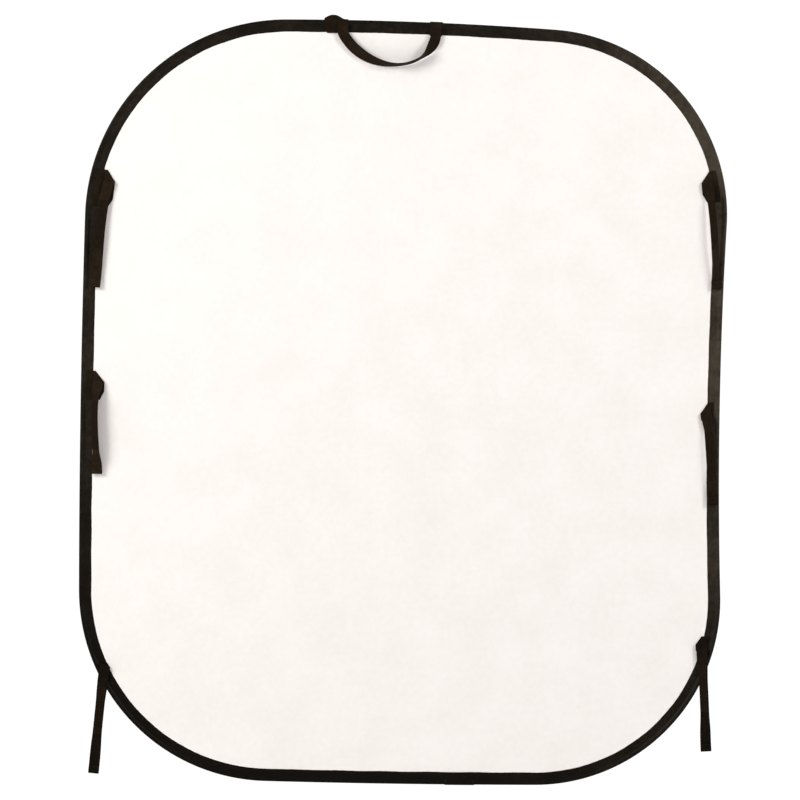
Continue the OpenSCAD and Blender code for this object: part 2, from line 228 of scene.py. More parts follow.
def tube(name, grid, u, v, slot, wrap_rows=False):
    """A closed piece from rings of points. u and v are the weave's coordinates round and along it."""
    rows, cols = grid.shape[:2]
    faces, at_row, at_col = grid_faces(rows, cols, wrap_rows, True)
    uvs = np.stack([u[at_col], v[at_row]], -1).reshape(-1, 2)
    faces = faces.tolist()
    if not wrap_rows:
        faces += [list(range(cols)), list(range((rows - 1) * cols, rows * cols))]
        ends = [[u[k], v[r]] for r in (0, rows - 1) for k in range(cols)]
        uvs = join(uvs, ends)
    return build(name, grid.reshape(-1, 3), faces, uvs, slot)


def plate(name, front, back, uv, slot):
    """A thin closed piece between two grids of points of the same shape."""
    rows, cols = front.shape[:2]
    count = rows * cols
    faces, _, _ = grid_faces(rows, cols)
    index = np.arange(count).reshape(rows, cols)
    rim = join(index[0, :-1], index[:-1, -1], index[-1, :0:-1], index[:0:-1, 0])
    after = np.roll(rim, -1)
    sides = np.stack([rim, after, after + count, rim + count], 1)
    faces = join(faces, faces[:, ::-1] + count, sides)
    points = join(front.reshape(-1, 3), back.reshape(-1, 3))
    uvs = np.concatenate([uv.reshape(-1, 2)] * 2)[faces.ravel()]
    return build(name, points, faces, uvs, slot)


# A strip's rounded selvedge, and the start and height of its flat part, in half thicknesses
SELVEDGE_IN, SELVEDGE_UP = np.array([0.04, 0.35, 1.0]), [0.25, 0.72, 1.0]
FLAT_IN, FLAT_UP = 2.2, 0.93


def strip_section(width, thick, cols=9):
    """The closed outline of a woven strip, as (across, out) pairs: flat, with rounded selvedges."""
    half, t = width / 2, thick / 2
    edge = half - SELVEDGE_IN * t
    flat = np.linspace(-half + FLAT_IN * t, half - FLAT_IN * t, cols)
    across = join(-edge, flat, edge[::-1])
    level = join(SELVEDGE_UP, np.full(cols, FLAT_UP), SELVEDGE_UP[::-1]) * t
    return join(across, across[::-1]), join(level, -level[::-1])


def strip(name, place, v, width, thick, slot):
    """Webbing or tape: place(v, across, out) gives its points, v is the distance along it."""
    across, out = strip_section(width, thick)
    grid = place(v[:, None], across, out)
    return tube(name, grid, np.append(across, across[0]), v, slot)


# A stitch: share of its length, share of its radius, and how far it stands up, in radii
STITCH_RINGS = [(-0.5, 0.45, -0.55), (-0.22, 0.95, 0.12), (0.22, 0.95, 0.12), (0.5, 0.45, -0.55)]
STITCH_SIDES = 6
# How flat a stitch is pressed, and how much of its pitch it may take up
STITCH_FLAT, STITCH_FILL = 0.8, 0.9


def stitches(name, runs, radius):
    """Thread: runs holds, for each stitch, its two ends and the direction that it stands up in."""
    a, b, up = (np.concatenate([r[k].reshape(-1, 3) for r in runs]) for k in range(3))
    up = up / np.linalg.norm(up, axis=1)[:, None]
    along = b - a
    side = np.cross(along, up)
    side = side / np.linalg.norm(side, axis=1)[:, None]
    rings = []
    for share, size, lift in STITCH_RINGS:
        for k in range(STITCH_SIDES):
            turn = 2 * math.pi * k / STITCH_SIDES
            height = math.sin(turn) * size * STITCH_FLAT + lift
            offset = (side * math.cos(turn) * size + up * height) * radius
            rings.append((a + b) / 2 + along * share + offset)
    points = np.stack(rings, 1)
    per = points.shape[1]
    quads, _, _ = grid_faces(len(STITCH_RINGS), STITCH_SIDES, False, True)
    caps = [list(range(STITCH_SIDES)), list(range(per - STITCH_SIDES, per))]
    shape = quads.tolist() + caps
    faces = [[p + n * per for p in f] for n in range(len(a)) for f in shape]
    lengthwise = [r[0] * 3 for r in STITCH_RINGS for _ in range(STITCH_SIDES)]
    uv = [[(p % STITCH_SIDES) * radius, lengthwise[p]] for f in shape for p in f]
    return build(name, points.reshape(-1, 3), faces, uv * len(a), "black_thread")


def stitch_run(place, start, end, pitch, length, out):
    """Stitches in a line between two (v, across) places of a strip."""
    start, end = np.array(start, float), np.array(end, float)
    total = np.linalg.norm(end - start)
    count = max(1, round(total / pitch))
    step = (end - start) / count
    mid = start + step * (np.arange(count)[:, None] + 0.5)
    half = step / np.linalg.norm(step) * min(length, total / count * STITCH_FILL) / 2
    up = place(*mid.T, out * 1.5) - place(*mid.T, out)
    return place(*(mid - half).T, out), place(*(mid + half).T, out), up


def stitch_path(place, corners, pitch, length, out):
    """Stitches round a closed path with straight sides."""
    pairs = zip(corners, corners[1:] + corners[:1])
    return [stitch_run(place, a, b, pitch, length, out) for a, b in pairs]


# ---- Materials ----
# Tint of the shine of black fabrics that have browned a little
WARM = (1.0, 0.86, 0.72)


def new_material(name):
    material = bpy.data.materials.new(name)
    material.use_nodes = True
    tree = material.node_tree
    return material, tree, tree.nodes["Principled BSDF"]


def node(tree, kind, inputs=(), **settings):
    made = tree.nodes.new(kind)
    for key, value in settings.items():
        setattr(made, key, value)
    for key, value in dict(inputs).items():
        if isinstance(value, bpy.types.NodeSocket):
            tree.links.new(value, made.inputs[key])
        else:
            made.inputs[key].default_value = value
    return made


def set_inputs(shader, values):
    for key, value in values.items():
        shader.inputs[key].default_value = value


def maths(tree, operation, a, b=0.0):
    return node(tree, "ShaderNodeMath", {0: a, 1: b}, operation=operation).outputs[0]


def mix(tree, *parts):
    """The sum of some levels, each times its share."""
    made = [maths(tree, "MULTIPLY", level, share) for level, share in parts]
    while len(made) > 1:
        made[:2] = [maths(tree, "ADD", made[0], made[1])]
    return made[0]


def object_place(tree):
    return node(tree, "ShaderNodeTexCoord").outputs["Object"]


def weave_place(tree):
    return node(tree, "ShaderNodeUVMap", uv_map="weave").outputs[0]


def noise_at(tree, vector, scale, detail=3.0, roughness=0.55, stretch=None):
    if stretch:
        vector = node(tree, "ShaderNodeVectorMath", {0: vector, 1: stretch}, operation="MULTIPLY").outputs[0]
    inputs = {"Vector": vector, "Scale": scale, "Detail": detail, "Roughness": roughness}
    return node(tree, "ShaderNodeTexNoise", inputs).outputs["Fac"]


def ramp(tree, value, stops):
    """A colour for each level of a value: stops are (level, colour), from low to high."""
    made = node(tree, "ShaderNodeValToRGB", {0: value})
    elements = made.color_ramp.elements
    elements[0].position, elements[1].position = stops[0][0], stops[-1][0]
    for place, _ in stops[1:-1]:
        elements.new(place)
    for element, (_, colour) in zip(elements, stops):
        element.color = (*colour, 1)
    return made.outputs["Color"]


def levels(tree, value, low, high):
    return node(tree, "ShaderNodeMapRange", {"Value": value, "To Min": low, "To Max": high}).outputs[0]


def surface(tree, shader, tone, tones, gloss, rough, height, strength, depth):
    """Colours by one level, roughness by another, and bumps by a third."""
    tree.links.new(ramp(tree, tone, tones), shader.inputs["Base Color"])
    tree.links.new(levels(tree, gloss, *rough), shader.inputs["Roughness"])
    bump = node(tree, "ShaderNodeBump", {"Height": height, "Strength": strength, "Distance": depth * MM})
    tree.links.new(bump.outputs[0], shader.inputs["Normal"])


def woven(tree, rib, pick, share):
    """Height of a weave of ribs that run along a piece, crossed by picks; and its coordinates."""
    uv = weave_place(tree)
    apart = node(tree, "ShaderNodeSeparateXYZ", {0: uv}).outputs
    across = maths(tree, "MULTIPLY", apart["X"], 2 * math.pi / rib)
    along = maths(tree, "MULTIPLY", apart["Y"], 2 * math.pi / pick)
    ribs = maths(tree, "ABSOLUTE", maths(tree, "SINE", maths(tree, "MULTIPLY", across, 0.5)))
    crossed = maths(tree, "MULTIPLY", maths(tree, "SINE", across), maths(tree, "SINE", along))
    return mix(tree, (ribs, 1 - share), (crossed, share * 0.5)), uv


# Painted light: where it grows upwards, falls off at the top, and grows to the right, in metres
PAINTED_LIGHT_UP, PAINTED_LIGHT_TOP, PAINTED_LIGHT_RIGHT = (-1.8, -0.7), (-0.25, 0.0), (0.0, 0.75)
# How much painted light is lost at the top, and the level it starts from, as shares of its height
PAINTED_LIGHT_LOST, PAINTED_LIGHT_START = 0.3, 0.9


def paint_light_and_shade(tree, place, height, side):
    """Painted light and shade on a fabric's tone: darkest at the panel's foot, and lightest at its upper
    right.
    """
    apart = node(tree, "ShaderNodeSeparateXYZ", {0: place}).outputs

    def rise(axis, ends, top):
        inputs = {"Value": apart[axis], "From Min": ends[0], "From Max": ends[1], "To Max": top}
        return node(tree, "ShaderNodeMapRange", inputs, interpolation_type="SMOOTHSTEP").outputs[0]

    up = maths(tree, "SUBTRACT", rise("Z", PAINTED_LIGHT_UP, height), rise("Z", PAINTED_LIGHT_TOP, height * PAINTED_LIGHT_LOST))
    both = maths(tree, "ADD", up, rise("X", PAINTED_LIGHT_RIGHT, side))
    return maths(tree, "SUBTRACT", both, height * PAINTED_LIGHT_START)


def fabric(name, tones, rib, pick, share, depth, rough, sheen=0.01, tint=WARM, specular=0.06, wear=0.25,
           painted_light=None):
    """Woven cloth, tape or webbing: colours vary over patches, threads and worn ribs, plus, when asked for,
    painted light and shade: lighter towards the upper right and darker at the foot.
    """
    material, tree, shader = new_material(name)
    height, uv = woven(tree, rib, pick, share)
    place = object_place(tree)
    cloudy = noise_at(tree, place, 9, 4)
    patchy = noise_at(tree, place, 70, 4, 0.6)
    threads = noise_at(tree, uv, 0.9, 3, 0.7, (1.0, 0.12, 1.0))
    worn = maths(tree, "SUBTRACT", height, 0.4)
    blend = mix(tree, (cloudy, 0.45), (patchy, 0.35), (threads, 0.2), (worn, wear))
    # Painted light and shade over the panel: lighter at the upper right, darker at the foot.
    if painted_light:
        blend = maths(tree, "ADD", blend, paint_light_and_shade(tree, place, *painted_light))
    fibres = mix(tree, (height, 0.8), (threads, 0.5))
    surface(tree, shader, blend, tones, threads, rough, fibres, 0.8, depth)
    set_inputs(shader, {"Sheen Weight": sheen, "Sheen Roughness": 0.5, "Sheen Tint": (*tint, 1)})
    set_inputs(shader, {"Specular Tint": (*tint, 1), "Specular IOR Level": specular})
    return material


def thread_material():
    """Thread of plies twisted together, which run slantwise round it."""
    material, tree, shader = new_material("twisted_black_thread")
    apart = node(tree, "ShaderNodeSeparateXYZ", {0: weave_place(tree)}).outputs
    around, along = maths(tree, "MULTIPLY", apart["X"], 9.0), maths(tree, "MULTIPLY", apart["Y"], 7.0)
    strands = maths(tree, "SINE", maths(tree, "ADD", around, along))
    place = object_place(tree)
    tone = noise_at(tree, place, 160, 3)
    surface(tree, shader, tone, THREAD_TONES, tone, (0.45, 0.7), strands, 0.6, 0.05)
    set_inputs(shader, {"Specular Tint": (*WARM, 1), "Specular IOR Level": 0.12})
    return material


def fastener_material(name, scale, randomness, depth, colours, rough, specular):
    """Hook or loop fastener tape: a field of small tufts over a woven ground."""
    material, tree, shader = new_material(name)
    uv = weave_place(tree)
    cells = node(tree, "ShaderNodeTexVoronoi", {"Vector": uv, "Scale": scale, "Randomness": randomness})
    tufts = levels(tree, cells.outputs["Distance"], 1.0, 0.0)
    curls = noise_at(tree, uv, scale * 2.2, 5, 0.7)
    height = maths(tree, "ADD", tufts, maths(tree, "MULTIPLY", curls, 0.6))
    tones = [(0.35, colours[0]), (1.0, colours[1])]
    surface(tree, shader, height, tones, curls, rough, height, 0.9, depth)
    set_inputs(shader, {"Specular Tint": (*WARM, 1), "Specular IOR Level": specular})
    return material


def steel(name, dark, light, grain, rough, blued=0.0):
    """Rolled steel with fine lengthwise marks, smudges and a little oil."""
    material, tree, shader = new_material(name)
    place = object_place(tree)
    marks = noise_at(tree, place, grain, 5, 0.6, (1, 40, 1))
    smudges = noise_at(tree, place, 25, 4)
    tone = mix(tree, (marks, 0.5), (smudges, 0.5))
    surface(tree, shader, tone, [(0.3, dark), (0.7, light)], marks, rough, marks, 0.35, 0.02)
    set_inputs(shader, {"Metallic": 1.0, "Coat Weight": blued})
    return material


WHITE_TONES = [(0.34, (0.83, 0.785, 0.755)), (0.5, (0.86, 0.82, 0.79)), (0.68, (0.89, 0.855, 0.825))]
REAR_TONES = [(0.34, (0.76, 0.75, 0.735)), (0.5, (0.80, 0.79, 0.775)), (0.68, (0.84, 0.83, 0.815))]
BINDING_TONES = [(0.22, (0.0012, 0.0008, 0.0006)), (0.4, (0.0055, 0.004, 0.0026)),
                 (0.5, (0.0115, 0.009, 0.0062)), (0.6, (0.021, 0.0168, 0.0118)),
                 (0.78, (0.055, 0.045, 0.032))]
WEBBING_TONES = [(0.25, (0.0025, 0.0017, 0.0008)), (0.5, (0.0125, 0.0075, 0.0036)),
                 (0.7, (0.027, 0.0175, 0.0092))]
PATCH_TONES = [(0.25, (0.0025, 0.0018, 0.0009)), (0.5, (0.0115, 0.0073, 0.0037)),
               (0.7, (0.024, 0.0162, 0.0088))]
THREAD_TONES = [(0.3, (0.006, 0.005, 0.004)), (0.7, (0.024, 0.019, 0.014))]
HOOK_COLOURS = (0.005, 0.0032, 0.0017), (0.018, 0.012, 0.007)
LOOP_COLOURS = (0.006, 0.0038, 0.002), (0.016, 0.0105, 0.006)

WHITE = {"sheen": 0.05, "tint": (1, 1, 1), "specular": 0.2, "wear": 0.06}

# Slot: its material
LOOKS = {
    "white_cloth": fabric("white_cloth", WHITE_TONES, 0.7, 0.7, 0.9, depth=0.05, rough=(0.75, 0.95), **WHITE),
    "rear_cloth": fabric("rear_cloth", REAR_TONES, 0.8, 0.8, 0.9, depth=0.06, rough=(0.8, 0.95), **WHITE),
    # The binding, webbing and patch tape get painted light and shade: lighter towards the upper right, darker
    # at the panel's foot.
    "binding_tape": fabric("binding_tape", BINDING_TONES, 1.1, 0.9, 0.6, depth=0.1, rough=(0.38, 0.55),
                           specular=0.1, painted_light=(0.31, 0.22)),
    "webbing": fabric("webbing", WEBBING_TONES, 1.8, 1.3, 0.45, depth=0.22, rough=(0.55, 0.8),
                      painted_light=(0.2, 0.0)),
    "patch_tape": fabric("patch_tape", PATCH_TONES, 0.9, 0.8, 0.8, depth=0.08, rough=(0.6, 0.85),
                         painted_light=(0.2, 0.05)),
    "black_thread": thread_material(),
    "hook_tape": fastener_material("hook_tape", 0.75, 0.35, 0.45, HOOK_COLOURS, (0.4, 0.65), 0.12),
    "loop_tape": fastener_material("loop_tape", 0.45, 1.0, 0.4, LOOP_COLOURS, (0.85, 1.0), 0.04),
}
# The steel that the binding hides
STEELS = {
    "spring_hoop": steel("spring_steel", (0.20, 0.22, 0.25), (0.42, 0.45, 0.50), 300, (0.25, 0.45), 0.3),
    "hoop_sleeve": steel("sleeve_steel", (0.45, 0.45, 0.44), (0.72, 0.71, 0.69), 180, (0.3, 0.5)),
    "hoop_rivets": steel("rivet_steel", (0.35, 0.34, 0.33), (0.6, 0.59, 0.57), 220, (0.25, 0.45)),
}

# ---- Cross-section of the rim: full round the band, then down to a flat seam ----
RIM_W = 29
RIM_T = 11
TAPE_T = 0.8
SEAM_H = 1.3
SEAM_U = 13.5
# The nose is the rounded outer edge, and the flank falls from full thickness to the seam.
NOSE_L = 3.6
FLANK_U = 4.6
# How square the nose is: 1 is an ellipse, and less is squarer
NOSE_SQUARE = 2 / 3
NOSE_STEPS, FLANK_STEPS, SEAM_STEPS = 6, 8, 9


def rim_half(grown, reach):
    """Half of the rim's section from its outer edge inwards, grown: insets and half thicknesses."""
    a = np.radians(np.linspace(0, 90, NOSE_STEPS + 1))
    nose_u = (NOSE_L + grown) * (1 - np.cos(a) ** NOSE_SQUARE) - grown
    nose_h = (RIM_T / 2 + grown) * np.sin(a) ** NOSE_SQUARE
    flank_u = np.linspace(FLANK_U, SEAM_U, FLANK_STEPS)
    left = (1 + np.cos(np.pi * (flank_u - FLANK_U) / (SEAM_U - FLANK_U))) / 2
    flank_h = SEAM_H + grown + (RIM_T / 2 - SEAM_H) * left
    seam_u = np.linspace(SEAM_U, reach, SEAM_STEPS + 1)[1:]
    seam_h = np.full(SEAM_STEPS, SEAM_H + grown)
    return join(nose_u, flank_u, seam_u), join(nose_h, flank_h, seam_h)


def rim_height(inset):
    """Half thickness of the rim at an inset."""
    u, h = rim_half(0, RIM_W)
    return np.interp(inset, u, h)


# ---- Binding: one long folded tape ----
THREAD_U = RIM_W - 4.2
RIM_STEP = 4.2
# Puckers on the flank: height along the sides, what the corners add, and wavelength
FLANK_PUCKERS = [(0.22, 0.3, 46), (0.1, 0.25, 15)]
# How far in they are strongest, and how far they spread
FLANK_MID, FLANK_WIDTH = 9, 4.5


def corner_share(s):
    """1 in the middle of a corner's bend, 0 along the sides."""
    total = 0
    for k in range(0, 8, 2):
        mid, half = rim_distance(k, 0.5), ARC_LENGTHS[k] / 2
        away = np.abs((s - mid + RIM_LENGTH / 2) % RIM_LENGTH - RIM_LENGTH / 2)
        total = total + smooth((half * 1.1 - away) / 120)
    return np.clip(total, 0, 1)


def binding_face(s, face, seed):
    """Insets and depths of one face with its puckers, a row for each distance s."""
    u, h = (values[None, :] for values in rim_half(0, RIM_W))
    gathers = corner_share(s)[:, None]
    along = s[:, None] + 0 * u
    # The puckers run a little slantwise over the tape.
    lean = u * 0.16 * face
    height, on_flank = h, bell(u, FLANK_MID, FLANK_WIDTH)
    for k, (plain, added, wave) in enumerate(FLANK_PUCKERS):
        height = height + on_flank * (plain + added * gathers) * ripple(along, wave, seed + k, skew=lean)
    on_seam = smooth((u - 12) / 6)
    lifted = 0.1 + 0.13 * ripple(along, 9, seed + 2, skew=lean)
    height = height + on_seam * gathers * np.maximum(lifted, 0) * 1.6
    at_edge = smooth((u - RIM_W + 1.8) / 1.2)
    height = height + at_edge * (0.2 + (0.12 + 0.3 * gathers) * ripple(along, 13, seed + 3))
    # The thread pulls the tape down, and its edge is turned under in a soft fold.
    height = height - bell(u, THREAD_U, 1.1) * 0.16
    height[:, -1] = 0.62
    wander = 0.35 * ripple(along, 170, seed + 4) + 0.12 * ripple(along, 21, seed + 5)
    return u + smooth((u - 14) / 12) * wander, face * height


def make_binding():
    count = round(RIM_LENGTH / RIM_STEP)
    s = np.arange(count) * RIM_LENGTH / count
    # Front and back are sewn down apart, so each has its own puckers.
    front_u, front_y = binding_face(s, -1, 11)
    rear_u, rear_y = binding_face(s, 1, 23)
    # The inside is hidden, so it has fewer points.
    inner_u, inner_h = rim_half(-TAPE_T, RIM_W)
    full = NOSE_STEPS + FLANK_STEPS
    keep = np.r_[0, 2, 4, 6:full:3, full:len(inner_u):4]
    inner_u, inner_h = inner_u[keep], np.maximum(inner_h[keep], 0)
    inner_u = np.tile(join(inner_u[::-1], inner_u[1:]), (count, 1))
    inner_y = np.tile(join(inner_h[::-1], -inner_h[1:]), (count, 1))
    loop_u = np.concatenate([front_u[:, ::-1], rear_u[:, 1:], inner_u], 1)
    loop_y = np.concatenate([front_y[:, ::-1], rear_y[:, 1:], inner_y], 1)
    grid = rim_point(s[:, None] + 0 * loop_u, loop_u, loop_y)
    ring = np.stack([loop_u[0], loop_y[0]], 1)
    around = distances(join(ring, ring[:1]))
    along = np.append(s, RIM_LENGTH)
    piece = tube("rim_binding_tape", grid, around, along, "binding_tape", wrap_rows=True)
    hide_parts("rim_binding")
    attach(piece, "panel")


def make_rim_stitches():
    pitch, length = 5.0, 4.1
    count = round(RIM_LENGTH / pitch)
    s = (np.arange(count) + 0.5) * RIM_LENGTH / count
    wander = THREAD_U + 0.25 * ripple(s, 240, 71)
    runs = []
    for face in (-1, 1):
        ends = [rim_point(s + sign * length / 2, wander, face * (SEAM_H - 0.02)) for sign in (-1, 1)]
        runs.append((ends[0], ends[1], np.tile([0, face, 0], (count, 1))))
    piece = stitches("rim_seam_stitches", runs, 0.34)
    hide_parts("rim_seam_thread")
    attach(piece, "panel")


# ---- Cloth: two plies stretched in the hoop ----
CLOTH_U = 11
CLOTH_T = 0.4
PLY_GAP = 0.05
CLOTH_RINGS = 86
# Slack in the cloth, and how far in it grows: height, wavelength and seed of each wave
SLACK_REACH = 260
SLACKS = [(2.4, 620, 5), (0.5, 190, 6)]
# Puckers and pulls from the seam: reach, height, what the corners add, wavelength and seed
PULL_FROM, PULL_RISE = 25, 22
PULLS = [(48, 0.28, 0.3, 36, 31), (170, 0.22, 0.5, 105, 32)]


def cloth_grid():
    """A square grid of points, in rings that follow the outline."""
    n = CLOTH_RINGS
    i, j = np.meshgrid(np.arange(-n, n + 1), np.arange(-n, n + 1), indexing="ij")
    ring = np.maximum(np.abs(i), np.abs(j))
    safe = np.maximum(ring, 1)
    # The side of its ring that a point is on, in the rim's order, and its share along it
    side = np.select([j == ring, i == -ring, j == -ring], [0, 1, 2], 3)
    share = np.choose(side, [ring - i, ring - j, i + ring, j + ring]) / (2 * safe)
    mids = np.array([rim_distance(2 * k, 0.5) for k in range(4)] + [RIM_LENGTH + rim_distance(0, 0.5)])
    s = mids[side] + share * (mids[side + 1] - mids[side])
    edge, out = rim_place(s)
    border = edge - CLOTH_U * out
    middle = np.array([0, -HANG_Z])
    # The rings lie closer together towards the rim, where the cloth puckers.
    scale = 1 - (1 - ring / n) ** 1.25
    flat = middle + (border - middle) * scale[..., None]
    return flat[..., 0], flat[..., 1]


def make_cloth():
    x, z = cloth_grid()
    s, inset = nearest_rim(x, z)
    gathers = corner_share(s)
    free = smooth((inset - RIM_W) / SLACK_REACH)
    out = sum(height * free * swell(x, z, wave, seed) for height, wave, seed in SLACKS)
    start = smooth((inset - PULL_FROM) / PULL_RISE)
    past = np.maximum(inset - RIM_W, 0)
    for reach, plain, added, wave, seed in PULLS:
        out = out + start * np.exp(-past / reach) * (plain + added * gathers) * ripple(s, wave, seed)
    uv = np.stack([x, z], -1)
    for name, slot, near, far in (("front_cloth", "white_cloth", -PLY_GAP - CLOTH_T, -PLY_GAP),
                                  ("rear_cloth", "rear_cloth", PLY_GAP, PLY_GAP + CLOTH_T)):
        faces = [np.stack([x, y - out, z], -1) for y in (near, far)]
        piece = plate(f"{name}_sheet", *faces, uv, slot)
        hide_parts(name)
        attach(piece, "panel")


# ---- What is wrapped round the rim ----
OVER_THREAD = 0.35
SPLICE_AT = rim_distance(5, 0.72)
SPLICE_L = 70


def wrap(name, s_mid, length, thick, reach, slot, lift=0.0, shear=0.0, seed=0):
    """A band over the rim. lift raises a loose fold above the rim's edge."""
    rows = max(8, round(length / 2.5))
    across = np.linspace(-length / 2, length / 2, rows)
    # The cut ends are turned under, so the band is rounded off along them.
    ends = 0.55 + 0.45 * (1 - (np.abs(across) / (length / 2)) ** 24)
    outer_u, outer_h = rim_half(OVER_THREAD + thick, reach)
    inner_u, inner_h = rim_half(OVER_THREAD, reach)
    hump = np.cos(np.clip((across - FOLD_AT) / FOLD_HALF, -1, 1) * np.pi / 2) ** 1.5
    rings = []
    for k in range(rows):
        raised = lift * hump[k]
        loops = []
        for half_u, half_h, grown in ((outer_u, outer_h, thick), (inner_u, inner_h, 0)):
            near = bell(np.maximum(half_u, 0), 0, 3.0)
            pinch = 1 - 0.45 * near * min(1, raised / 8)
            settle = 0.12 * np.sin(across[k] * 0.9 + half_u * 0.35 + seed) * smooth((half_u - 8) / 6)
            h = (half_h * pinch + settle) * (ends[k] if grown else 1)
            loops.append((half_u - raised * near, h))
        (ou, oh), (iu, ih) = loops
        ih = np.minimum(ih, oh - 0.1)
        ih[0] = oh[0] = 0
        u = join(ou[::-1], ou[1:], iu[::-1], iu[1:])
        y = join(-oh[::-1], oh[1:], ih[::-1], -ih[1:])
        s = s_mid - across[k] + shear * (1 - np.clip(u / reach, 0, 1)) * np.where(y < 0, 1, 0.3)
        rings.append(rim_point(s + 0 * u, u, y))
    grid = np.array(rings)
    around = distances(join(grid[0], grid[0][:1]))
    return tube(name, grid, around, across, slot)


def make_splice():
    place = SPLICE_AT, SPLICE_L, TAPE_T, RIM_W - 1
    piece = wrap("binding_splice_tape", *place, "binding_tape", seed=1)
    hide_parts("binding_splice")
    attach(piece, "panel")


# ---- Handle ----
PIVOT_Y = -8.2
WEB_W, WEB_T = 25, 1.6
HANDLE_MID_X = -28
HANDLE_U = 20
HANDLE_SPAN = 218
HANDLE_DROP = 84
HANDLE_FLAT = 12
HANDLE_TOP = 16
HANDLE_OUT = 8
# How far the webbing turns on edge, and over what share of it at its left and at its right
HANDLE_TWIST = 84
HANDLE_EASES = 0.58, 0.27
WRAP_T = 1.6
WRAP_REACH = RIM_W + 2
# Each wrap, left then right: shift of its middle from the handle's end, length along the rim, and
# how far its loose fold stands above the rim
WRAPS = [(-12, 52, 10), (0, 30, 0)]
# Where the loose fold's top is, from the wrap's middle, and half its length
FOLD_AT, FOLD_HALF = -6.5, 25
# The box of stitches on each wrap: its height, and its distance from the wrap's edge
WRAP_BOX_H, WRAP_BOX_EDGE = 5, 1.5
# Rows of stitches across the handle: half their width, and their distances from its ends, first
# where it is sewn to the wrap and then where it hangs
ROW_HALF = 10
SEWN_ROWS, STRAP_ROWS = (3.0, 6.0), (HANDLE_TOP + 15.5, HANDLE_TOP + 19.0)

TOP_CENTRE, TOP_RADIUS = ARCS[1][0] - [0, HANG_Z], ARCS[1][1]


def top_place(x):
    """Distance along the rim and outward angle at an X of the handle's line."""
    angle = math.acos((x - TOP_CENTRE[0]) / (TOP_RADIUS - HANDLE_U))
    return rim_distance(1, (math.degrees(angle) - ARCS[1][2]) / ARCS[1][3]), angle


def handle_frame():
    """The middle between the handle's ends, and the directions along and up from its line."""
    s, angle = top_place(HANDLE_MID_X)
    mid = rim_point(s, HANDLE_U, 0)
    cos, sin = math.cos(angle), math.sin(angle)
    return mid, np.array([sin, 0, -cos]), np.array([cos, 0, sin])


HANDLE_MID, HANDLE_X, HANDLE_Z = handle_frame()
# The four control points of the curve that the webbing hangs in
HANDLE_CURVE = np.array([(-HANDLE_SPAN / 2, -HANDLE_FLAT), (-0.24 * HANDLE_SPAN, -1.32 * HANDLE_DROP),
                         (0.43 * HANDLE_SPAN, -1.25 * HANDLE_DROP), (HANDLE_SPAN / 2, -HANDLE_FLAT)])
CURVE_STEPS, SEWN_STEPS, EVEN_STEP = 500, 59, 0.5
# Half of the length over which the webbing's stiffness eases its bends, in even steps
SOFT_STEPS = 20


def handle_line():
    """The webbing's middle line and turn, at even distances from end to end."""
    t = np.linspace(0, 1, CURVE_STEPS)[:, None]
    p = HANDLE_CURVE
    curve = (1 - t) ** 3 * p[0] + 3 * (1 - t) ** 2 * t * p[1] + 3 * (1 - t) * t * t * p[2] + t ** 3 * p[3]
    t = t[:, 0]
    turned = HANDLE_TWIST * smooth(t / HANDLE_EASES[0]) * smooth((1 - t) / HANDLE_EASES[1])
    rise = np.linspace(HANDLE_TOP, -HANDLE_FLAT, SEWN_STEPS + 1)[:-1]
    left = np.stack([np.full(SEWN_STEPS, -HANDLE_SPAN / 2), rise], 1)
    right = left[::-1] * [-1, 1]
    line = join(left, curve, right)
    turned = np.pad(turned, SEWN_STEPS)
    far = distances(line)
    v = np.arange(0, far[-1], EVEN_STEP)
    even = np.stack([np.interp(v, far, values) for values in (line[:, 0], line[:, 1], turned)], 1)
    # Webbing is stiff, so its bends are eased out, except where it is sewn down.
    window = np.hanning(2 * SOFT_STEPS + 1)
    padded = np.pad(even, ((SOFT_STEPS, SOFT_STEPS), (0, 0)), mode="edge")
    soft = np.stack([np.convolve(padded[:, k], window / window.sum(), "valid") for k in range(3)], 1)
    sewn = smooth((HANDLE_TOP + 2 - np.minimum(v, v[-1] - v)) / 6)[:, None]
    even[:, :2] = even[:, :2] * sewn + soft[:, :2] * (1 - sewn)
    return v, even


HANDLE_V, HANDLE_EVEN = handle_line()
HANDLE_LENGTH = HANDLE_V[-1]


def handle_place(v, across, out):
    """Points of the webbing, v from its left sewn end."""
    v, across, out = np.broadcast_arrays(v, across, out)
    reach = 1.5

    def line(at):
        return [np.interp(at, HANDLE_V, HANDLE_EVEN[:, k]) for k in range(3)]

    x, z, turned = line(v)
    x0, z0, _ = line(np.clip(v - reach, 0, HANDLE_LENGTH))
    x1, z1, _ = line(np.clip(v + reach, 0, HANDLE_LENGTH))
    length = np.hypot(x1 - x0, z1 - z0)
    ux, uz = (x1 - x0) / length, (z1 - z0) / length
    a = np.radians(turned)
    y = PIVOT_Y - HANDLE_OUT * np.sin(a)
    # Across the webbing: it starts in the panel's plane and turns on edge.
    ax, ay, az = np.cos(a) * uz, np.sin(a), -np.cos(a) * ux
    nx, ny, nz = -uz * ay, uz * ax - ux * az, ux * ay
    x, y, z = x + across * ax + out * nx, y + across * ay + out * ny, z + across * az + out * nz
    return spread(HANDLE_MID, HANDLE_X, HANDLE_Z, x, y, z)


def handle_row(v):
    """Stitches across the handle's webbing, on the side of it that faces the viewer."""
    faces_back = handle_place(v, 0.0, 1.0)[1] > handle_place(v, 0.0, -1.0)[1]
    out = -WEB_T / 2 if faces_back else WEB_T / 2
    return stitch_run(handle_place, (v, -ROW_HALF), (v, ROW_HALF), 3.4, 2.8, out)


def both_ends(distances):
    return [v for d in distances for v in (d, HANDLE_LENGTH - d)]


